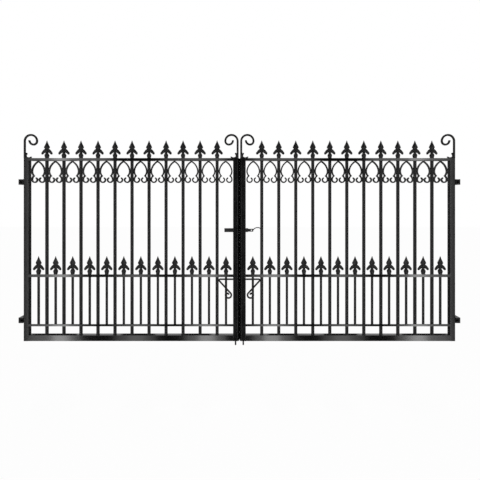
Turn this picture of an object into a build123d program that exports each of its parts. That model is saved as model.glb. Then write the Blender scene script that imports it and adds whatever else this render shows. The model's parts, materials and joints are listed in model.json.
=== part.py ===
"""A pair of iron gate leaves on wall hinges, with spearheads, dog bars, arches, scrolls, latch and drop bolts.

Lengths are in millimetres. X runs from the left wall to the right wall, Y away from the viewer and Z up.
The origin lies on the wall face of the left lower hinge bracket.
"""
import os

from build123d import *

# Opening and leaves
opening_width = 3658.0
centre_x = opening_width / 2
hinge_space = 42.0
frame_depth = 40.0
leaf_middle_y = -12.0
leaf_back_y = leaf_middle_y + frame_depth / 2
leaf_bottom_z = -171.5
frame_height = 1516.0
leaf_top_z = leaf_bottom_z + frame_height
meeting_gap = 5.0
meeting_bar_width = 10.0
meeting_bar_depth = 30.0

# Stiles and rails
stile_width = 40.0
stile_wall = 3.0
stile_corner_radius = 2.0
cap_height = 3.0
bottom_rail_height = 48.0
top_rail_height = 21.0
flat_rail_depth = 6.0
middle_rail_height = 22.0
middle_rail_z = 369.5
dog_rail_height = 17.0
dog_rail_z = -40.7
rail_seat_gap = 0.05

# Bars
long_bar_count = 11
dog_bar_count = 12
long_bar_radius = 13.2
dog_bar_radius = 9.8
dog_bar_shift = 3.5
last_bay_cut = 8.3

# Spearheads, heights above the rail and half widths
spear_base_radius = 12.5
spear_bulb_radius = 18.0
spear_bulb_height = 23.0
spear_neck_radius = 9.5
spear_neck_height = 44.0
spear_collar_radius = 11.0
spear_collar_height = 70.0
spear_blade_height = 91.0
spear_blade_half_width = 25.5
spear_blade_half_depth = 10.0
spear_tip_height = 150.0
spear_tip_half_width = 0.8
barb_thickness = 14.0
barb_shoulder_height = 79.0
barb_shoulder_reach = 16.5
barb_outer_height = 65.0
barb_outer_reach = 31.0
barb_tip_height = 46.0
barb_tip_reach = 46.5
barb_heel_height = 34.0
barb_heel_reach = 38.0
barb_inner_height = 55.0
barb_inner_reach = 14.0

# Lyre arches, measured outwards from the bay middle and down from the top rail
arch_thickness = 11.2
arch_depth = 12.0
arch_apex_drop = 5.0
arch_bar_clearance = 0.1
arch_shoulder_drop = 84.0
arch_shoulder_radius = 102.0
arch_waist_share = 0.71
arch_waist_drop = 125.5
arch_waist_radius = 57.5
arch_loop_drop = 157.5
arch_loop_side_radius = 37.5
arch_loop_radius = 21.5
arch_curl_radius = 15.0
arch_curl_angle = 80.0

# Corner scrolls and leaves
scroll_rod_radius = 8.5
scroll_overhang = 4.0
scroll_meeting_space = 13.0
scroll_straight = 142.0
scroll_outer_radius = 51.0
scroll_second_radius = 29.0
scroll_inner_radius = 34.0
scroll_end_angle = 92.0
corner_leaf_thickness = 11.0
corner_leaf_height = 45.0
corner_leaf_length = 52.0
corner_leaf_knob = 15.0
corner_leaf_waist = 7.0

# Hinges
bracket_plate_thickness = 12.0
bracket_plate_height = 45.0
bracket_plate_depth = frame_depth - 2 * leaf_middle_y
bracket_hole_radius = 5.5
bracket_hole_offset = 22.0
hinge_axis_x = 27.0
upper_hinge_drop = 198.0
lug_thickness = 13.0
lug_radius = 10.0
pin_radius = 6.0
pin_fit = 0.05
pin_head_radius = 8.0
pin_head_height = 3.0
eye_radius = 10.0
eye_end_clearance = 0.5
eye_neck_depth = 12.0

# Drop bolts
drop_rod_radius = 7.0
drop_rod_offset_y = 14.0
drop_rod_bottom_z = -227.5
drop_rod_top_z = 350.0
drop_rod_fit = 0.1
drop_tip_radius = 6.5
drop_tip_length = 54.0
drop_tip_chamfer = 3.0
drop_guide_width = 30.0
drop_guide_depth = 26.0
drop_guide_height = 20.0
drop_lower_guide_z = -139.5
drop_upper_guide_z = 240.5
drop_collar_radius = 11.0
drop_collar_height = 10.0
handle_radius = 7.2
handle_z = 328.0
handle_reach = 129.5
handle_bend_radius = 9.0
handle_bend_angle = 132.5
handle_diagonal = 139.0
handle_curl_radius = 24.5
handle_curl_angle = 235.0
handle_eye_radius = 13.0
handle_eye_angle = 160.0

# Latch
latch_z = 743.5
latch_bar_thickness = 8.0
latch_bar_height = 24.0
latch_clearance = 1.0
latch_rest_gap = 0.1
latch_wall = 3.0
keeper_length = 114.0
guide_length = 61.0
guide_inset = 0.5
latch_plate_reach = 116.0
padlock_hole_radius = 5.0
padlock_hole_inset = 14.5
latch_tail_radius = 3.9
latch_tail_seat = 1.0
latch_tail_rise = 22.0
latch_tail_length = 61.0
latch_tail_reach_shares = (0.27, 0.55, 0.88, 1.0)
latch_tail_rise_shares = (0.78, 1.0, 0.86, 0.5)

# Places worked out from the sizes above
stile_outer_x = hinge_space
stile_inner_x = stile_outer_x + stile_width
meeting_inner_x = centre_x - meeting_gap / 2 - meeting_bar_width
meeting_outer_x = meeting_inner_x - stile_width
meeting_middle_x = meeting_inner_x - stile_width / 2
leaf_clear_width = meeting_outer_x - stile_inner_x
leaf_middle_x = (meeting_outer_x + stile_inner_x) / 2
bar_pitch = (leaf_clear_width + last_bay_cut) / dog_bar_count
bottom_rail_top_z = leaf_bottom_z + bottom_rail_height
top_rail_bottom_z = leaf_top_z - top_rail_height
middle_rail_top_z = middle_rail_z + middle_rail_height / 2
dog_rail_bottom_z = dog_rail_z - dog_rail_height / 2
long_bar_places = [stile_inner_x + bar_pitch * (i + 1) for i in range(long_bar_count)]
bay_places = [stile_inner_x + bar_pitch * i + bar_pitch / 2 for i in range(dog_bar_count)]
dog_places = [x + dog_bar_shift for x in bay_places]
bar_front_y = leaf_middle_y - long_bar_radius
dog_bar_y = bar_front_y + dog_bar_radius
flat_rail_y = bar_front_y - rail_seat_gap - flat_rail_depth / 2
hinge_heights = {"lower": 0.0, "upper": leaf_top_z - upper_hinge_drop}
drop_rod_y = leaf_back_y + drop_rod_offset_y
leaf_plane = Plane.XZ.offset(-leaf_middle_y)
mirror_plane = Plane.YZ.offset(centre_x)
left_pieces = {}

# Stiles: box tubes with a cap on top
for stile_name, stile_x in (("hinge_stile", stile_outer_x), ("meeting_stile", meeting_outer_x)):
    with BuildPart() as stile:
        with BuildSketch(Plane.XY.offset(leaf_bottom_z)):
            with Locations((stile_x + stile_width / 2, leaf_middle_y)):
                RectangleRounded(stile_width, frame_depth, stile_corner_radius)
                Rectangle(stile_width - 2 * stile_wall, frame_depth - 2 * stile_wall, mode=Mode.SUBTRACT)
        extrude(amount=frame_height - cap_height)
    left_pieces[stile_name] = stile.part

with BuildPart() as stile_caps:
    with BuildSketch(Plane.XY.offset(leaf_top_z - cap_height)):
        with Locations(
            (stile_outer_x + stile_width / 2, leaf_middle_y),
            (meeting_middle_x, leaf_middle_y),
        ):
            RectangleRounded(stile_width, frame_depth, stile_corner_radius)
    extrude(amount=cap_height)
left_pieces["stile_caps"] = stile_caps.part

# Meeting bar on the meeting stile
with BuildPart() as meeting_bar:
    with BuildSketch(Plane.XY.offset(leaf_bottom_z)):
        with Locations((meeting_inner_x + meeting_bar_width / 2, leaf_middle_y)):
            Rectangle(meeting_bar_width, meeting_bar_depth)
    extrude(amount=frame_height)
left_pieces["meeting_bar"] = meeting_bar.part

# Bottom rail: box tube between the stiles
with BuildPart() as bottom_rail:
    with BuildSketch(Plane.YZ.offset(stile_inner_x)):
        with Locations((leaf_middle_y, leaf_bottom_z + bottom_rail_height / 2)):
            RectangleRounded(frame_depth, bottom_rail_height, stile_corner_radius)
            Rectangle(frame_depth - 2 * stile_wall, bottom_rail_height - 2 * stile_wall, mode=Mode.SUBTRACT)
    extrude(amount=leaf_clear_width)
left_pieces["bottom_rail"] = bottom_rail.part

# Top rail: a solid flat
with BuildPart() as top_rail:
    with BuildSketch(Plane.YZ.offset(stile_inner_x)):
        with Locations((leaf_middle_y, leaf_top_z - top_rail_height / 2)):
            Rectangle(frame_depth, top_rail_height)
    extrude(amount=leaf_clear_width)
left_pieces["top_rail"] = top_rail.part

# Middle rail and dog rail: flats across the front of the bars
for rail_name, rail_z, rail_height in (
    ("middle_rail", middle_rail_z, middle_rail_height),
    ("dog_rail", dog_rail_z, dog_rail_height),
):
    with BuildPart() as rail:
        with BuildSketch(Plane.YZ.offset(stile_inner_x)):
            with Locations((flat_rail_y, rail_z)):
                Rectangle(flat_rail_depth, rail_height)
        extrude(amount=leaf_clear_width)
    left_pieces[rail_name] = rail.part

# Long bars from the bottom rail to the top rail
with BuildPart() as long_bars:
    with BuildSketch(Plane.XY.offset(bottom_rail_top_z)):
        with Locations(*[(x, leaf_middle_y) for x in long_bar_places]):
            Circle(long_bar_radius)
    extrude(amount=top_rail_bottom_z - bottom_rail_top_z)
left_pieces["long_bars"] = long_bars.part

# Dog bars behind the dog rail and the middle rail
with BuildPart() as dog_bars:
    with BuildSketch(Plane.XY.offset(dog_rail_bottom_z)):
        with Locations(*[(x, dog_bar_y) for x in dog_places]):
            Circle(dog_bar_radius)
    extrude(amount=middle_rail_top_z - dog_rail_bottom_z)
left_pieces["dog_bars"] = dog_bars.part

# One spearhead: turned foot, flat barbs and a four sided blade
with BuildPart() as spearhead:
    with BuildSketch(Plane.XZ):
        with BuildLine():
            foot = Line((0, 0), (spear_base_radius, 0))
            bulb = Spline(
                foot @ 1,
                (spear_bulb_radius, spear_bulb_height),
                (spear_neck_radius, spear_neck_height),
                (spear_collar_radius, spear_collar_height),
            )
            Polyline(bulb @ 1, (0, spear_collar_height), (0, 0))
        make_face()
    revolve(axis=Axis.Z)
    with BuildSketch(Plane.XZ.offset(-barb_thickness / 2)):
        with BuildLine():
            Polyline(
                (0, barb_shoulder_height),
                (barb_shoulder_reach, barb_shoulder_height),
                (barb_outer_reach, barb_outer_height),
                (barb_tip_reach, barb_tip_height),
                (barb_heel_reach, barb_heel_height),
                (barb_inner_reach, barb_inner_height),
                (0, barb_inner_height),
                close=True,
            )
        make_face()
        mirror(about=Plane.YZ)
    extrude(amount=barb_thickness)
    with BuildSketch(Plane.XY.offset(spear_collar_height)):
        with BuildLine():
            Polyline(
                (spear_collar_radius, 0),
                (0, spear_neck_radius),
                (-spear_collar_radius, 0),
                (0, -spear_neck_radius),
                close=True,
            )
        make_face()
    with BuildSketch(Plane.XY.offset(spear_blade_height)):
        with BuildLine():
            Polyline(
                (spear_blade_half_width, 0),
                (0, spear_blade_half_depth),
                (-spear_blade_half_width, 0),
                (0, -spear_blade_half_depth),
                close=True,
            )
        make_face()
    loft(ruled=True)
    with BuildSketch(Plane.XY.offset(spear_blade_height)):
        with BuildLine():
            Polyline(
                (spear_blade_half_width, 0),
                (0, spear_blade_half_depth),
                (-spear_blade_half_width, 0),
                (0, -spear_blade_half_depth),
                close=True,
            )
        make_face()
    with BuildSketch(Plane.XY.offset(spear_tip_height)):
        with BuildLine():
            Polyline(
                (spear_tip_half_width, 0),
                (0, spear_tip_half_width),
                (-spear_tip_half_width, 0),
                (0, -spear_tip_half_width),
                close=True,
            )
        make_face()
    loft(ruled=True)

# Rows of spearheads on the top rail and on the dog bars
with BuildPart() as top_spearheads:
    with Locations(*[(x, leaf_middle_y, leaf_top_z) for x in long_bar_places]):
        add(spearhead.part)
left_pieces["top_spearheads"] = top_spearheads.part

with BuildPart() as dog_spearheads:
    with Locations(*[(x, dog_bar_y, middle_rail_top_z) for x in dog_places]):
        add(spearhead.part)
left_pieces["dog_spearheads"] = dog_spearheads.part

# One lyre arch, drawn as a bent strip around the bay middle
arch_shoulder_reach = bar_pitch / 2 - long_bar_radius - arch_thickness / 2 - arch_bar_clearance
arch_waist_reach = arch_shoulder_reach * arch_waist_share
arch_loop_x = arch_shoulder_reach - arch_loop_radius
with BuildPart() as arch:
    with BuildSketch(leaf_plane.offset(-arch_depth / 2)):
        with BuildLine():
            shoulder = RadiusArc(
                (0, -arch_apex_drop), (arch_shoulder_reach, -arch_shoulder_drop), arch_shoulder_radius
            )
            waist = RadiusArc(shoulder @ 1, (arch_waist_reach, -arch_waist_drop), arch_waist_radius)
            flank = RadiusArc(waist @ 1, (arch_shoulder_reach, -arch_loop_drop), arch_loop_side_radius)
            loop = ThreePointArc(
                flank @ 1,
                (arch_loop_x, -arch_loop_drop - arch_loop_radius),
                (arch_loop_x - arch_loop_radius, -arch_loop_drop),
            )
            JernArc(loop @ 1, loop % 1, arch_curl_radius, -arch_curl_angle)
        trace(line_width=arch_thickness)
        mirror(about=Plane.YZ)
    extrude(amount=arch_depth)

with BuildPart() as arch_scrolls:
    with Locations(*[(x, 0, top_rail_bottom_z) for x in bay_places]):
        add(arch.part)
left_pieces["arch_scrolls"] = arch_scrolls.part

# Corner scrolls: round rods standing on the stile caps and curling over the leaf
scroll_foot_x = stile_outer_x - scroll_overhang + scroll_rod_radius
meeting_foot_x = centre_x - scroll_meeting_space / 2 - scroll_rod_radius
scroll_y = leaf_middle_y - frame_depth / 2 + scroll_rod_radius
scroll_plane = Plane.XZ.offset(-scroll_y)
with BuildPart() as outer_scroll:
    with BuildLine(scroll_plane):
        rise = Line((scroll_foot_x, leaf_top_z), (scroll_foot_x, leaf_top_z + scroll_straight))
        crown = JernArc(rise @ 1, rise % 1, scroll_outer_radius, -180)
        turn = JernArc(crown @ 1, crown % 1, scroll_second_radius, -90)
        JernArc(turn @ 1, turn % 1, scroll_inner_radius, -scroll_end_angle)
    with BuildSketch(Plane.XY.offset(leaf_top_z)):
        with Locations((scroll_foot_x, scroll_y)):
            Circle(scroll_rod_radius)
    sweep()

leaf_mirror_plane = Plane.YZ.offset((scroll_foot_x + meeting_foot_x) / 2)
with BuildPart() as top_scrolls:
    add(outer_scroll.part)
    mirror(outer_scroll.part, about=leaf_mirror_plane)
left_pieces["top_scrolls"] = top_scrolls.part

# Corner leaves in the angle of scroll and rail
leaf_foot_x = scroll_foot_x + scroll_rod_radius
with BuildPart() as outer_leaf:
    with BuildSketch(scroll_plane.offset(-corner_leaf_thickness / 2)):
        with BuildLine():
            stem = Polyline(
                (leaf_foot_x + corner_leaf_waist, leaf_top_z + corner_leaf_height - corner_leaf_knob),
                (leaf_foot_x + corner_leaf_knob, leaf_top_z + corner_leaf_height),
                (leaf_foot_x, leaf_top_z + corner_leaf_height),
                (leaf_foot_x, leaf_top_z),
                (leaf_foot_x + corner_leaf_length, leaf_top_z),
                (leaf_foot_x + corner_leaf_length, leaf_top_z + corner_leaf_knob),
                (leaf_foot_x + corner_leaf_length - corner_leaf_knob, leaf_top_z + corner_leaf_waist),
            )
            ThreePointArc(
                stem @ 1,
                (leaf_foot_x + corner_leaf_knob, leaf_top_z + corner_leaf_knob),
                stem @ 0,
            )
        make_face()
    extrude(amount=corner_leaf_thickness)

with BuildPart() as corner_leaves:
    add(outer_leaf.part)
    mirror(outer_leaf.part, about=leaf_mirror_plane)
left_pieces["corner_leaves"] = corner_leaves.part

# Hinge brackets: wall plate, two lugs flush with its front edge and a headed pin
lug_inner_z = bracket_plate_height / 2 - lug_thickness
lug_end_x = hinge_axis_x + lug_radius
bracket_parts = {}
for level, level_z in hinge_heights.items():
    with BuildPart() as bracket:
        with BuildSketch(Plane.YZ):
            with Locations((0, level_z)):
                Rectangle(bracket_plate_depth, bracket_plate_height)
            with Locations((-bracket_hole_offset, level_z), (bracket_hole_offset, level_z)):
                Circle(bracket_hole_radius, mode=Mode.SUBTRACT)
        extrude(amount=bracket_plate_thickness)
        with BuildSketch(Plane.XY.offset(level_z + lug_inner_z), Plane.XY.offset(level_z - lug_inner_z - lug_thickness)):
            with Locations((hinge_axis_x, 0)):
                Circle(lug_radius)
            with Locations(((bracket_plate_thickness + hinge_axis_x) / 2, 0)):
                Rectangle(hinge_axis_x - bracket_plate_thickness, 2 * lug_radius)
            with Locations(((bracket_plate_thickness + lug_end_x) / 2, -bracket_plate_depth / 4)):
                Rectangle(lug_end_x - bracket_plate_thickness, bracket_plate_depth / 2)
        extrude(amount=lug_thickness)
        with BuildSketch(Plane.XY.offset(level_z - bracket_plate_height / 2)):
            with Locations((hinge_axis_x, 0)):
                Circle(pin_radius)
        extrude(amount=bracket_plate_height)
        with BuildSketch(Plane.XY.offset(level_z + bracket_plate_height / 2)):
            with Locations((hinge_axis_x, 0)):
                Circle(pin_head_radius)
        extrude(amount=pin_head_height)
    bracket_parts[level] = bracket.part

# Hinge eyes on the hinge stile
eye_height = 2 * (lug_inner_z - eye_end_clearance)
with BuildPart() as hinge_eyes:
    for level_z in hinge_heights.values():
        with BuildSketch(Plane.XY.offset(level_z - eye_height / 2)):
            with Locations((hinge_axis_x, 0)):
                Circle(eye_radius)
            with Locations(((hinge_axis_x + stile_outer_x) / 2, 0)):
                Rectangle(stile_outer_x - hinge_axis_x, eye_neck_depth)
            with Locations((hinge_axis_x, 0)):
                Circle(pin_radius + pin_fit, mode=Mode.SUBTRACT)
        extrude(amount=eye_height)
left_pieces["hinge_eyes"] = hinge_eyes.part

# Drop bolt guides on the back of the meeting stile
with BuildPart() as drop_bolt_guides:
    for guide_z in (drop_lower_guide_z, drop_upper_guide_z):
        with BuildSketch(Plane.XY.offset(guide_z)):
            with Locations((meeting_middle_x, leaf_back_y + drop_guide_depth / 2)):
                Rectangle(drop_guide_width, drop_guide_depth)
            with Locations((meeting_middle_x, drop_rod_y)):
                Circle(drop_rod_radius + drop_rod_fit, mode=Mode.SUBTRACT)
        extrude(amount=drop_guide_height)
left_pieces["drop_bolt_guides"] = drop_bolt_guides.part

# Drop bolt rod with a turned tip and a stop collar
with BuildPart() as drop_rod:
    with BuildSketch(Plane.XY.offset(drop_rod_bottom_z)):
        with Locations((meeting_middle_x, drop_rod_y)):
            Circle(drop_tip_radius)
    extrude(amount=drop_tip_length)
    chamfer(drop_rod.edges().group_by(Axis.Z)[0], length=drop_tip_chamfer)
    with BuildSketch(Plane.XY.offset(drop_rod_bottom_z + drop_tip_length)):
        with Locations((meeting_middle_x, drop_rod_y)):
            Circle(drop_rod_radius)
    extrude(amount=drop_rod_top_z - drop_rod_bottom_z - drop_tip_length)
    with BuildSketch(Plane.XY.offset(drop_lower_guide_z + drop_guide_height)):
        with Locations((meeting_middle_x, drop_rod_y)):
            Circle(drop_collar_radius)
    extrude(amount=drop_collar_height)
left_pieces["drop_rod"] = drop_rod.part

# Drop bolt handle: a bent rod with a curled end
handle_plane = Plane.XZ.offset(-drop_rod_y)
handle_start_x = meeting_middle_x - drop_rod_radius
with BuildPart() as drop_handle:
    with BuildLine(handle_plane):
        arm = Line((handle_start_x, handle_z), (meeting_middle_x - handle_reach, handle_z))
        bend = JernArc(arm @ 1, arm % 1, handle_bend_radius, handle_bend_angle)
        stay = Line(bend @ 1, (bend @ 1) + (bend % 1) * handle_diagonal)
        curl = JernArc(stay @ 1, stay % 1, handle_curl_radius, -handle_curl_angle)
        JernArc(curl @ 1, curl % 1, handle_eye_radius, -handle_eye_angle)
    with BuildSketch(Plane.YZ.offset(handle_start_x)):
        with Locations((drop_rod_y, handle_z)):
            Circle(handle_radius)
    sweep()
left_pieces["drop_handle"] = drop_handle.part

# Latch keeper on the back of the left meeting stile: a sleeve with a closed end
sleeve_height = latch_bar_height + 2 * latch_clearance + 2 * latch_wall
sleeve_depth = latch_bar_thickness + 2 * latch_clearance + 2 * latch_wall
latch_bar_y = leaf_back_y + latch_wall + latch_clearance + latch_bar_thickness / 2
sleeve_hole_height = latch_bar_height + 2 * latch_clearance
sleeve_hole_depth = latch_bar_thickness + 2 * latch_clearance
with BuildPart() as latch_keeper:
    with BuildSketch(Plane.YZ.offset(meeting_inner_x - keeper_length)):
        with Locations((leaf_back_y + sleeve_depth / 2, latch_z)):
            Rectangle(sleeve_depth, sleeve_height)
    extrude(amount=keeper_length)
    with BuildSketch(Plane.YZ.offset(meeting_inner_x - keeper_length + latch_wall)):
        with Locations((latch_bar_y, latch_z)):
            Rectangle(sleeve_hole_depth, sleeve_hole_height)
    extrude(amount=keeper_length - latch_wall, mode=Mode.SUBTRACT)

# Latch guide on the back of the right meeting stile: an open sleeve
guide_start_x = opening_width - meeting_inner_x + guide_inset
with BuildPart() as latch_guide:
    with BuildSketch(Plane.YZ.offset(guide_start_x)):
        with Locations((leaf_back_y + sleeve_depth / 2, latch_z)):
            Rectangle(sleeve_depth, sleeve_height)
        with Locations((latch_bar_y, latch_z)):
            Rectangle(sleeve_hole_depth, sleeve_hole_height, mode=Mode.SUBTRACT)
    extrude(amount=guide_length)

# Latch bolt: a flat bar with a padlock hole and a bent tail, drawn back
latch_start_x = guide_start_x + guide_inset
latch_bar_z = latch_z - latch_clearance + latch_rest_gap
latch_end_x = centre_x + latch_plate_reach
with BuildPart() as latch_bolt:
    with BuildSketch(Plane.XZ.offset(-latch_bar_y - latch_bar_thickness / 2)):
        with Locations(((latch_start_x + latch_end_x) / 2, latch_bar_z)):
            Rectangle(latch_end_x - latch_start_x, latch_bar_height)
        with Locations((latch_end_x - padlock_hole_inset, latch_bar_z)):
            Circle(padlock_hole_radius, mode=Mode.SUBTRACT)
    extrude(amount=latch_bar_thickness)
    with BuildLine(Plane.XZ.offset(-latch_bar_y)):
        tail = Spline(
            (latch_end_x - latch_tail_seat, latch_bar_z),
            *[
                (latch_end_x + reach_share * latch_tail_length, latch_bar_z + rise_share * latch_tail_rise)
                for reach_share, rise_share in zip(latch_tail_reach_shares, latch_tail_rise_shares)
            ],
        )
    with BuildSketch(Plane(origin=tail @ 0, z_dir=tail % 0)):
        Circle(latch_tail_radius)
    sweep()

# Labels and files
os.makedirs("parts", exist_ok=True)
for level, piece in bracket_parts.items():
    piece.label = f"left_{level}_hinge_bracket"
    export_step(piece, f"parts/{piece.label}.step")
    with BuildPart() as right_bracket:
        mirror(piece, about=mirror_plane)
    right_bracket.part.label = f"right_{level}_hinge_bracket"
    export_step(right_bracket.part, f"parts/{right_bracket.part.label}.step")

for piece_name, piece in left_pieces.items():
    piece.label = f"left_{piece_name}"
    export_step(piece, f"parts/{piece.label}.step")
    with BuildPart() as right_piece:
        mirror(piece, about=mirror_plane)
    right_piece.part.label = f"right_{piece_name}"
    export_step(right_piece.part, f"parts/{right_piece.part.label}.step")

latch_keeper.part.label = "latch_keeper"
export_step(latch_keeper.part, "parts/latch_keeper.step")
latch_guide.part.label = "latch_guide"
export_step(latch_guide.part, "parts/latch_guide.step")
latch_bolt.part.label = "latch_bolt"
export_step(latch_bolt.part, "parts/latch_bolt.step")
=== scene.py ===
"""Looks of the black iron gate: cast heads, fittings, paint, studio light and camera."""

import json
import math

import bpy
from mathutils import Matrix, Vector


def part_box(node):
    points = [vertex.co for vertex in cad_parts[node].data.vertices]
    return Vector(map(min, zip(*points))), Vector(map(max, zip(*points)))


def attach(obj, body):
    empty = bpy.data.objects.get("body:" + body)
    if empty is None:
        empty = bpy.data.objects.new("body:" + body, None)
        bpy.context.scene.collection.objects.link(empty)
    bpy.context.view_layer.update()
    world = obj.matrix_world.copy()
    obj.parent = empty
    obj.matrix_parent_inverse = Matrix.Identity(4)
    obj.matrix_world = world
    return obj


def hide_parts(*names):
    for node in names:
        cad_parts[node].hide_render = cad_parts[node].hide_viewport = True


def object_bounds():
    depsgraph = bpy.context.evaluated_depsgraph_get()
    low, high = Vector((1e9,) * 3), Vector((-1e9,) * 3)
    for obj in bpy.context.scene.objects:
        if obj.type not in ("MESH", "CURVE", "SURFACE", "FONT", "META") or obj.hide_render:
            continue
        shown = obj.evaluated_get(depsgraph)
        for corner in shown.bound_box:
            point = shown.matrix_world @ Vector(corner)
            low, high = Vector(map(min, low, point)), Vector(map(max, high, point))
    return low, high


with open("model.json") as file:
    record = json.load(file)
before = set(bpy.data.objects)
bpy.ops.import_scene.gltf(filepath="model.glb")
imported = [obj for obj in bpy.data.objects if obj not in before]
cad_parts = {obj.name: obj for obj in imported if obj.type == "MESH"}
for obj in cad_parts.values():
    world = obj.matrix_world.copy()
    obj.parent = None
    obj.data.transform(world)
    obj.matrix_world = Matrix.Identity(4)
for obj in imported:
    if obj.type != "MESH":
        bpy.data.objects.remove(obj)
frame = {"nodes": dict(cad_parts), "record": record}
cad_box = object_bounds()
nodes = frame["nodes"]

# Places read from the frame, in metres
gate_low, gate_high = cad_box
centre_x = (gate_low[0] + gate_high[0]) / 2
leaf_front_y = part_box("left_hinge_stile")[0][1]
mm = 0.001

# Photograph's view, in metres and shares of the picture
camera_distance = 2.66
camera_height = 0.9972
picture_width = 3.974
picture_middle_z = 0.666
picture_side_shift_share = 0.0012
sensor_width_mm = 36.0

# Counts of the rows
long_bar_count = 11
dog_bar_count = 12

# Spearhead shapes: height, shift outwards, half width and half depth in millimetres
spear_foot_stations = (
    (0.0, 0.0, 15.0, 15.0),
    (5.0, 0.0, 15.0, 15.0),
    (11.0, 0.0, 16.0, 16.0),
    (20.0, 0.0, 18.5, 18.5),
    (28.0, 0.0, 18.5, 18.5),
    (36.0, 0.0, 14.5, 14.5),
    (44.0, 0.0, 10.5, 10.5),
    (52.0, 0.0, 10.5, 10.0),
    (60.0, 0.0, 12.0, 10.0),
    (70.0, 0.0, 10.0, 8.0),
)
spear_blade_stations = (
    (62.0, 0.0, 10.0, 7.0),
    (74.0, 0.0, 14.0, 8.5),
    (81.0, 0.0, 18.0, 9.5),
    (86.0, 0.0, 23.0, 10.0),
    (91.0, 0.0, 25.5, 10.0),
    (97.0, 0.0, 24.0, 9.5),
    (108.0, 0.0, 18.5, 8.0),
    (121.0, 0.0, 12.0, 6.0),
    (135.0, 0.0, 6.2, 4.0),
    (146.0, 0.0, 2.4, 2.0),
    (150.0, 0.0, 0.6, 0.6),
)
spear_barb_stations = (
    (81.0, 9.0, 8.0, 6.0),
    (74.0, 12.5, 12.0, 8.0),
    (67.0, 17.5, 15.5, 8.0),
    (60.0, 20.5, 17.0, 8.0),
    (53.0, 25.5, 17.5, 7.5),
    (48.0, 29.5, 17.0, 7.0),
    (43.0, 34.0, 13.5, 6.0),
    (38.0, 37.0, 10.5, 5.0),
    (34.0, 38.0, 7.0, 4.0),
    (31.5, 38.5, 3.0, 2.0),
)

# Corner leaf shapes: distance along the lobe, shift off the rod or rail, half width and half depth in mm
leaf_upright_stations = (
    (0.0, 7.0, 7.0, 5.5),
    (9.0, 5.5, 5.5, 5.5),
    (18.0, 4.0, 4.0, 4.8),
    (27.0, 4.5, 4.5, 4.8),
    (34.0, 7.5, 7.5, 5.4),
    (41.0, 7.5, 7.0, 5.0),
    (45.0, 5.5, 3.0, 2.5),
)
leaf_runner_stations = (
    (0.0, 7.0, 7.0, 5.5),
    (12.0, 5.5, 5.5, 5.5),
    (25.0, 3.5, 3.5, 4.6),
    (34.0, 4.5, 4.5, 4.8),
    (41.0, 7.0, 7.0, 5.4),
    (47.0, 8.0, 5.5, 4.4),
    (52.0, 9.5, 1.5, 1.5),
)

# Weld beads at the bar ends: height, shift, half width and half depth in millimetres
weld_stations = (
    (0.0, 0.0, 15.2, 15.2),
    (1.2, 0.0, 14.8, 14.8),
    (2.6, 0.0, 13.5, 13.5),
    (3.6, 0.0, 12.5, 12.5),
)
weld_roughness = 0.35 * mm
weld_seed = 3

# Wall bolts: height off the plate, shift, half width and half depth in millimetres
washer_stations = (
    (0.0, 0.0, 9.0, 9.0),
    (0.8, 0.0, 9.0, 9.0),
    (1.0, 0.0, 8.7, 8.7),
)
bolt_head_stations = (
    (0.9, 0.0, 7.8, 7.8),
    (2.4, 0.0, 7.4, 7.4),
    (3.4, 0.0, 6.2, 6.2),
    (3.9, 0.0, 4.6, 4.6),
    (3.9, 0.0, 3.0, 3.0),
    (2.2, 0.0, 2.8, 2.8),
)
bracket_plate_thickness = 12.0 * mm

# Rubber lips that close the slit between the leaves, in line with the hinge pins; near-black and dull,
# they are a dark sheet standing in for the shade in the slit
lip_half_depth = 3.0 * mm
lip_slit_gap = 0.02 * mm
hinge_line_y = 0.0

# Depth of the orange peel in the paint
peel_depth = 0.4 * mm

# Studio sizes, in metres
floor_z = -1.75
floor_size = 60.0
floor_white_share = 0.97
flag_gap = 0.4
flag_width = 11.0
flag_height = 5.5
strips = {
    "near_core": {"offset": 0.54, "width": 0.26, "height": 3.0, "foot": 0.0, "power": 12.0},
    "near_wing": {"offset": 0.56, "width": 0.66, "height": 4.2, "foot": 0.0, "power": 13.0},
    "near_upper": {"offset": 1.0, "width": 0.5, "height": 1.4, "foot": 2.8, "power": 2.2},
    "middle_core": {"offset": 1.7, "width": 0.28, "height": 3.0, "foot": 0.0, "power": 5.2},
    "middle_wing": {"offset": 1.72, "width": 0.68, "height": 3.0, "foot": 0.0, "power": 6.2},
    "far_core": {"offset": 2.96, "width": 0.26, "height": 4.2, "foot": 0.0, "power": 20.0},
    "far_wing": {"offset": 3.07, "width": 0.88, "height": 4.2, "foot": 0.0, "power": 18.0},
    "far_upper": {"offset": 2.4, "width": 0.5, "height": 1.4, "foot": 2.8, "power": 4.0},
}
panel_distance = 1.6
panels = {
    "near": {"offset": 0.575, "width": 0.39},
    "middle": {"offset": 1.34, "width": 0.45},
    "far": {"offset": 2.45, "width": 0.6},
}


def clear_selection():
    """Leaves object mode with nothing selected."""
    bpy.ops.object.select_all(action="DESELECT")


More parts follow.
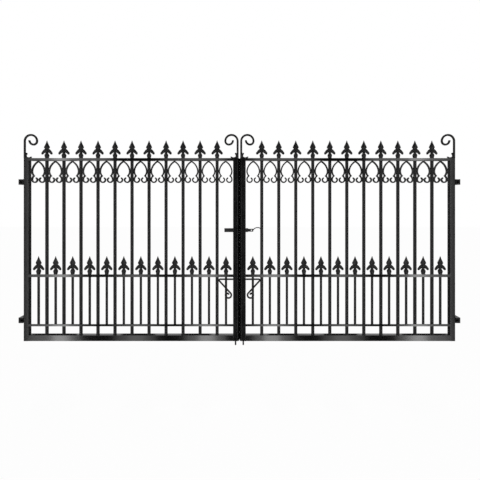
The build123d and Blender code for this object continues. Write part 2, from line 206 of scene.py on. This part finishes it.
def raised_body(name, sides, stations):
    """A closed body raised ring by ring; a station is height, shift along X, half width and half depth."""
    clear_selection()
    height, shift, half_width, half_depth = stations[0]
    bpy.ops.mesh.primitive_circle_add(
        vertices=sides, radius=mm, fill_type="NGON", location=(shift * mm, 0, height * mm)
    )
    body = bpy.context.object
    body.name = name
    body.scale = (half_width, half_depth, 1.0)
    bpy.ops.object.transform_apply(location=True, rotation=True, scale=True)
    bpy.ops.object.mode_set(mode="EDIT")
    bpy.ops.mesh.select_all(action="SELECT")
    for low, high in zip(stations, stations[1:]):
        step = ((high[1] - low[1]) * mm, 0, (high[0] - low[0]) * mm)
        bpy.ops.mesh.extrude_region_move(TRANSFORM_OT_translate={"value": step})
        bpy.ops.transform.resize(
            value=(high[2] / low[2], high[3] / low[3], 1.0),
            center_override=(high[1] * mm, 0, high[0] * mm),
        )
    bpy.ops.mesh.select_all(action="SELECT")
    bpy.ops.mesh.normals_make_consistent(inside=False)
    bpy.ops.object.mode_set(mode="OBJECT")
    return body


def make_only_active(piece):
    """Selects one object alone."""
    clear_selection()
    piece.select_set(True)
    bpy.context.view_layer.objects.active = piece


def joined(name, pieces):
    """One object made of several."""
    make_only_active(pieces[0])
    for piece in pieces:
        piece.select_set(True)
    bpy.ops.object.join()
    whole = bpy.context.object
    whole.name = name
    return whole


def moved(piece, place=(0, 0, 0), turn=(0, 0, 0), scale=(1, 1, 1)):
    """Puts a piece in its place, with the place in its mesh."""
    make_only_active(piece)
    piece.location = place
    piece.rotation_euler = turn
    piece.scale = scale
    bpy.ops.object.transform_apply(location=True, rotation=True, scale=True)
    if scale[0] * scale[1] * scale[2] < 0:
        bpy.ops.object.mode_set(mode="EDIT")
        bpy.ops.mesh.select_all(action="SELECT")
        bpy.ops.mesh.normals_make_consistent(inside=False)
        bpy.ops.object.mode_set(mode="OBJECT")
    return piece


def copied(piece):
    """A copy of a piece with its own mesh."""
    make_only_active(piece)
    bpy.ops.object.duplicate(linked=False)
    return bpy.context.object


def smoothed(piece, angle):
    """Smooth shading, broken at edges sharper than the angle."""
    make_only_active(piece)
    bpy.ops.object.shade_smooth_by_angle(angle=math.radians(angle))
    return piece


def row_of(name, pattern, places):
    """Copies of a pattern at several places, as one object."""
    copies = [moved(copied(pattern), place) for place in places]
    return joined(name, copies)


def discard(piece):
    """Takes a pattern out of the scene."""
    make_only_active(piece)
    bpy.ops.object.delete()


# Effects and finishes
def new_group(name, inputs, outputs):
    """A shader node group with named sockets; returns the group, its input node and its output node."""
    group = bpy.data.node_groups.new(name, "ShaderNodeTree")
    for socket_name, socket_type, value in inputs:
        socket = group.interface.new_socket(socket_name, in_out="INPUT", socket_type=socket_type)
        socket.default_value = value
    for socket_name, socket_type in outputs:
        group.interface.new_socket(socket_name, in_out="OUTPUT", socket_type=socket_type)
    entry = group.nodes.new("NodeGroupInput")
    leave = group.nodes.new("NodeGroupOutput")
    return group, entry, leave


def paint_film_group():
    """Brushed paint on iron: soft tone changes, a faint orange peel and dust that dulls the gloss."""
    group, entry, leave = new_group(
        "paint_film",
        [
            ("Paint", "NodeSocketColor", (0.01, 0.01, 0.01, 1.0)),
            ("Thin Paint", "NodeSocketColor", (0.02, 0.02, 0.02, 1.0)),
            ("Gloss Roughness", "NodeSocketFloat", 0.15),
            ("Dull Roughness", "NodeSocketFloat", 0.3),
            ("Peel Scale", "NodeSocketFloat", 220.0),
        ],
        [
            ("Color", "NodeSocketColor"),
            ("Roughness", "NodeSocketFloat"),
            ("Height", "NodeSocketFloat"),
        ],
    )
    tree_nodes = group.nodes
    links = group.links
    place = tree_nodes.new("ShaderNodeTexCoord")
    cloud = tree_nodes.new("ShaderNodeTexNoise")
    cloud.inputs["Scale"].default_value = 9.0
    cloud.inputs["Detail"].default_value = 6.0
    cloud.inputs["Roughness"].default_value = 0.6
    links.new(place.outputs["Object"], cloud.inputs["Vector"])
    peel = tree_nodes.new("ShaderNodeTexNoise")
    peel.inputs["Detail"].default_value = 2.0
    links.new(place.outputs["Object"], peel.inputs["Vector"])
    links.new(entry.outputs["Peel Scale"], peel.inputs["Scale"])
    spread = tree_nodes.new("ShaderNodeMapRange")
    spread.inputs["From Min"].default_value = 0.35
    spread.inputs["From Max"].default_value = 0.75
    links.new(cloud.outputs["Fac"], spread.inputs["Value"])
    tone = tree_nodes.new("ShaderNodeMix")
    tone.data_type = "RGBA"
    links.new(spread.outputs["Result"], tone.inputs["Factor"])
    links.new(entry.outputs["Paint"], tone.inputs["A"])
    links.new(entry.outputs["Thin Paint"], tone.inputs["B"])
    dull = tree_nodes.new("ShaderNodeMix")
    dull.data_type = "FLOAT"
    links.new(spread.outputs["Result"], dull.inputs["Factor"])
    links.new(entry.outputs["Gloss Roughness"], dull.inputs["A"])
    links.new(entry.outputs["Dull Roughness"], dull.inputs["B"])
    links.new(tone.outputs["Result"], leave.inputs["Color"])
    links.new(dull.outputs["Result"], leave.inputs["Roughness"])
    links.new(peel.outputs["Fac"], leave.inputs["Height"])
    return group


paint_film = paint_film_group()


def paint_material(name, paint, thin_paint, roughness, peel, ior):
    """A painted finish made from the paint film group; roughness and peel are pairs."""
    material = bpy.data.materials.new(name)
    material.use_nodes = True
    tree_nodes = material.node_tree.nodes
    links = material.node_tree.links
    shader = tree_nodes["Principled BSDF"]
    film = tree_nodes.new("ShaderNodeGroup")
    film.node_tree = paint_film
    film.inputs["Paint"].default_value = (*paint, 1.0)
    film.inputs["Thin Paint"].default_value = (*thin_paint, 1.0)
    film.inputs["Gloss Roughness"].default_value = roughness[0]
    film.inputs["Dull Roughness"].default_value = roughness[1]
    film.inputs["Peel Scale"].default_value = peel[0]
    links.new(film.outputs["Color"], shader.inputs["Base Color"])
    links.new(film.outputs["Roughness"], shader.inputs["Roughness"])
    bump = tree_nodes.new("ShaderNodeBump")
    bump.inputs["Strength"].default_value = peel[1]
    bump.inputs["Distance"].default_value = peel_depth
    links.new(film.outputs["Height"], bump.inputs["Height"])
    links.new(bump.outputs["Normal"], shader.inputs["Normal"])
    shader.inputs["IOR"].default_value = ior
    return material


frame_paint = paint_material(
    "frame_paint", (0.001, 0.001, 0.0011), (0.0025, 0.0025, 0.0026), (0.1, 0.14), (260.0, 0.02), 1.56
)
bar_paint = paint_material(
    "bar_paint", (0.003, 0.003, 0.0031), (0.006, 0.006, 0.0063), (0.25, 0.35), (260.0, 0.02), 1.3
)
cast_paint = paint_material(
    "cast_paint", (0.003, 0.003, 0.0031), (0.007, 0.007, 0.0073), (0.28, 0.4), (160.0, 0.12), 1.3
)
fitting_paint = paint_material(
    "fitting_paint", (0.003, 0.003, 0.0031), (0.006, 0.006, 0.0063), (0.22, 0.34), (200.0, 0.08), 1.3
)
# Near-black dull rubber finish: painted shade for the dark slit between the meeting stiles
slit_shade_rubber = paint_material(
    "slit_shade_rubber", (0.0008, 0.0008, 0.0008), (0.0015, 0.0015, 0.0015), (0.6, 0.75), (400.0, 0.1), 1.05
)
finishes = {"frame_paint": frame_paint, "cast_paint": cast_paint, "fitting_paint": fitting_paint}
bar_words = ("long_bars", "dog_bars", "arch_scrolls", "top_scrolls")

for subpart in frame["record"]["subparts"]:
    node_name = subpart["node"]
    finish = finishes[subpart["material_slot"]]
    if node_name.endswith(bar_words):
        finish = bar_paint
    # The meeting bars take the near-black rubber finish as painted shade for the slit between the leaves
    if node_name.endswith("meeting_bar"):
        finish = slit_shade_rubber
    nodes[node_name].data.materials.clear()
    nodes[node_name].data.materials.append(finish)


def dressed(piece, material, body):
    """Gives a piece its finish and the body it rides on."""
    piece.data.materials.clear()
    piece.data.materials.append(material)
    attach(piece, body)


# One spearhead: turned foot, ridged blade and a pair of barbs
spear_foot = smoothed(raised_body("spear_foot", 20, spear_foot_stations), 40)
spear_blade = smoothed(raised_body("spear_blade", 4, spear_blade_stations), 30)
right_barb = smoothed(raised_body("right_barb", 12, spear_barb_stations), 50)
left_barb = moved(copied(right_barb), scale=(-1, 1, 1))
spearhead = joined("spearhead", [spear_foot, spear_blade, right_barb, left_barb])


def row_places(bars_node, count, foot_z):
    """Middles of a row of bars, at a given height."""
    low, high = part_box(bars_node)
    radius = (high[1] - low[1]) / 2
    first_x = low[0] + radius
    pitch = (high[0] - radius - first_x) / (count - 1)
    return [(first_x + pitch * i, low[1] + radius, foot_z) for i in range(count)]


for side in ("left", "right"):
    for row, bars, count in (
        ("top_spearheads", "long_bars", long_bar_count),
        ("dog_spearheads", "dog_bars", dog_bar_count),
    ):
        node_name = f"{side}_{row}"
        foot_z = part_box(node_name)[0][2]
        spears = row_of(f"{side}_{row}_cast", spearhead, row_places(f"{side}_{bars}", count, foot_z))
        dressed(spears, cast_paint, f"{side}_leaf")
        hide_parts(node_name)
discard(spearhead)

# Corner leaves: an upright lobe and a running lobe from one root
leaf_upright = raised_body("leaf_upright", 14, leaf_upright_stations)
leaf_runner = moved(
    raised_body("leaf_runner", 14, leaf_runner_stations), turn=(0, math.radians(90), 0), scale=(-1, 1, 1)
)
corner_leaf = smoothed(joined("corner_leaf", [leaf_upright, leaf_runner]), 60)
for side in ("left", "right"):
    node_name = f"{side}_corner_leaves"
    low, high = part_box(node_name)
    middle_y = (low[1] + high[1]) / 2
    low_leaf = moved(copied(corner_leaf), (low[0], middle_y, low[2]))
    high_leaf = moved(copied(corner_leaf), (high[0], middle_y, low[2]), scale=(-1, 1, 1))
    leaves = joined(f"{side}_corner_leaves_cast", [low_leaf, high_leaf])
    dressed(leaves, cast_paint, f"{side}_leaf")
    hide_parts(node_name)
discard(corner_leaf)

# Weld beads at both ends of the long bars
weld = smoothed(raised_body("weld", 18, weld_stations), 60)
make_only_active(weld)
bpy.ops.object.mode_set(mode="EDIT")
bpy.ops.mesh.select_all(action="SELECT")
bpy.ops.transform.vertex_random(offset=weld_roughness, seed=weld_seed)
bpy.ops.object.mode_set(mode="OBJECT")
hanging_weld = moved(copied(weld), scale=(1, 1, -1))
for side in ("left", "right"):
    bars_low, bars_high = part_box(f"{side}_long_bars")
    feet_places = row_places(f"{side}_long_bars", long_bar_count, bars_low[2])
    heads_places = row_places(f"{side}_long_bars", long_bar_count, bars_high[2])
    feet = row_of(f"{side}_feet", weld, feet_places)
    heads = row_of(f"{side}_heads", hanging_weld, heads_places)
    welds = joined(f"{side}_bar_welds", [feet, heads])
    dressed(welds, bar_paint, f"{side}_leaf")
discard(weld)
discard(hanging_weld)

# Rubber lips on the meeting bars, near-black and dull as painted shade for the slit
for side, outwards in (("left", 1), ("right", -1)):
    low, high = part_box(f"{side}_meeting_bar")
    face_x = high[0] if outwards > 0 else low[0]
    lip_half_width = (abs(centre_x - face_x) - lip_slit_gap) / 2 / mm
    end_stations = (
        (low[2] / mm, 0.0, lip_half_width, lip_half_depth / mm),
        (high[2] / mm, 0.0, lip_half_width, lip_half_depth / mm),
    )
    lip = smoothed(raised_body(f"{side}_meeting_lip", 24, end_stations), 40)
    moved(lip, (face_x + outwards * lip_half_width * mm, hinge_line_y, 0))
    dressed(lip, slit_shade_rubber, f"{side}_leaf")

# Wall bolts with washers on the hinge brackets
washer = smoothed(raised_body("washer", 24, washer_stations), 30)
bolt_head = smoothed(raised_body("bolt_head", 18, bolt_head_stations), 40)
wall_bolt = joined("wall_bolt", [washer, bolt_head])
for mount in frame["record"]["mounts"]:
    if mount["kind"] == "bolt_pattern":
        inwards = -mount["axis"][0]
        half_spacing = mount["dims"]["spacing_x_mm"] * mm / 2
        plate_x = mount["pos_m"][0] + inwards * bracket_plate_thickness
        turned = moved(copied(wall_bolt), turn=(0, math.radians(90) * inwards, 0))
        bolts = row_of(
            mount["name"] + "_heads",
            turned,
            [(plate_x, step * half_spacing, mount["pos_m"][2]) for step in (-1, 1)],
        )
        dressed(bolts, fitting_paint, "wall_brackets")
        discard(turned)
discard(wall_bolt)


# Floor, dark flags and world
def plain_plane(name, size_x, size_y, place, turn):
    """A flat sheet of the studio, with its place in its mesh."""
    clear_selection()
    bpy.ops.mesh.primitive_plane_add(size=1.0, location=place, rotation=turn)
    sheet = bpy.context.object
    sheet.name = name
    sheet.scale = (size_x, size_y, 1.0)
    bpy.ops.object.transform_apply(location=True, rotation=True, scale=True)
    return sheet


floor = plain_plane("floor", floor_size, floor_size, (centre_x, 0, floor_z), (0, 0, 0))
floor_material = bpy.data.materials.new("pale_floor")
floor_material.use_nodes = True
floor_nodes = floor_material.node_tree.nodes
floor_links = floor_material.node_tree.links
floor_shader = floor_nodes["Principled BSDF"]
floor_shader.inputs["Base Color"].default_value = (0.9, 0.9, 0.9, 1.0)
floor_shader.inputs["Roughness"].default_value = 0.9
floor_shader.inputs["Specular IOR Level"].default_value = 0.0
floor_glow = floor_nodes.new("ShaderNodeEmission")
floor_glow.inputs["Strength"].default_value = 1.0
floor_path = floor_nodes.new("ShaderNodeLightPath")
floor_seen = floor_nodes.new("ShaderNodeMath")
floor_seen.operation = "MULTIPLY"
floor_seen.inputs[1].default_value = floor_white_share
floor_mix = floor_nodes.new("ShaderNodeMixShader")
floor_links.new(floor_path.outputs["Is Camera Ray"], floor_seen.inputs[0])
floor_links.new(floor_seen.outputs["Value"], floor_mix.inputs["Fac"])
floor_links.new(floor_shader.outputs["BSDF"], floor_mix.inputs[1])
floor_links.new(floor_glow.outputs["Emission"], floor_mix.inputs[2])
floor_links.new(floor_mix.outputs["Shader"], floor_nodes["Material Output"].inputs["Surface"])
floor.data.materials.append(floor_material)

camera_y = leaf_front_y - camera_distance
dark_cloth = bpy.data.materials.new("dark_cloth")
dark_cloth.use_nodes = True
cloth_shader = dark_cloth.node_tree.nodes["Principled BSDF"]
cloth_shader.inputs["Base Color"].default_value = (0.06, 0.06, 0.06, 1.0)
cloth_shader.inputs["Roughness"].default_value = 1.0


def dark_flag(name, width, offset_x, place_y):
    """A standing sheet of dark cloth, out of the camera's sight, that the gloss paint mirrors."""
    place = (centre_x + offset_x, place_y, floor_z + flag_height / 2)
    flag = plain_plane(name, width, flag_height, place, (math.radians(90), 0, 0))
    flag.visible_camera = False
    flag.data.materials.append(dark_cloth)


dark_flag("front_flag", flag_width, 0, camera_y - flag_gap)
for side_name, side in (("left", -1), ("right", 1)):
    for panel_name, panel in panels.items():
        name = f"{side_name}_{panel_name}_panel"
        dark_flag(name, panel["width"], side * panel["offset"], leaf_front_y + panel_distance)

world = bpy.data.worlds.new("white_studio")
bpy.context.scene.world = world
world.use_nodes = True
world_nodes = world.node_tree.nodes
world_links = world.node_tree.links
ambient = world_nodes["Background"]
ambient.inputs["Color"].default_value = (1.0, 1.0, 1.0, 1.0)
ambient.inputs["Strength"].default_value = 0.5
backdrop = world_nodes.new("ShaderNodeBackground")
backdrop.inputs["Color"].default_value = (1.0, 1.0, 1.0, 1.0)
backdrop.inputs["Strength"].default_value = 1.0
world_path = world_nodes.new("ShaderNodeLightPath")
seen = world_nodes.new("ShaderNodeMath")
seen.operation = "MAXIMUM"
seen_through = world_nodes.new("ShaderNodeMath")
seen_through.operation = "MAXIMUM"
world_mix = world_nodes.new("ShaderNodeMixShader")
world_links.new(world_path.outputs["Is Camera Ray"], seen.inputs[0])
world_links.new(world_path.outputs["Is Glossy Ray"], seen.inputs[1])
world_links.new(seen.outputs["Value"], seen_through.inputs[0])
world_links.new(world_path.outputs["Is Transmission Ray"], seen_through.inputs[1])
world_links.new(seen_through.outputs["Value"], world_mix.inputs["Fac"])
world_links.new(ambient.outputs["Background"], world_mix.inputs[1])
world_links.new(backdrop.outputs["Background"], world_mix.inputs[2])
world_links.new(world_mix.outputs["Shader"], world_nodes["World Output"].inputs["Surface"])


# Strip lights by the camera
def strip_light(name, strip, side):
    """A tall soft strip light beside the camera, facing the gate."""
    lamp_data = bpy.data.lights.new(name, "AREA")
    lamp_data.shape = "RECTANGLE"
    lamp_data.size = strip["width"]
    lamp_data.size_y = strip["height"]
    lamp_data.energy = strip["power"]
    lamp = bpy.data.objects.new(name, lamp_data)
    bpy.context.scene.collection.objects.link(lamp)
    middle_z = floor_z + strip["foot"] + strip["height"] / 2
    lamp.location = (centre_x + side * strip["offset"], camera_y, middle_z)
    lamp.rotation_euler = (math.radians(90), 0, 0)
    lamp.visible_camera = False


for side_name, side in (("left", -1), ("right", 1)):
    for strip_name, strip in strips.items():
        strip_light(f"{side_name}_{strip_name}_strip", strip, side)

# Camera
camera_data = bpy.data.cameras.new("photo_camera")
camera_data.sensor_width = sensor_width_mm
camera_data.lens = sensor_width_mm * camera_distance / picture_width
camera_data.shift_x = picture_side_shift_share
camera_data.shift_y = (picture_middle_z - camera_height) / picture_width
camera = bpy.data.objects.new("photo_camera", camera_data)
bpy.context.scene.collection.objects.link(camera)
camera.location = (centre_x, camera_y, camera_height)
camera.rotation_euler = (math.radians(90), 0, 0)
bpy.context.scene.camera = camera
bpy.context.scene.view_settings.view_transform = "Standard"
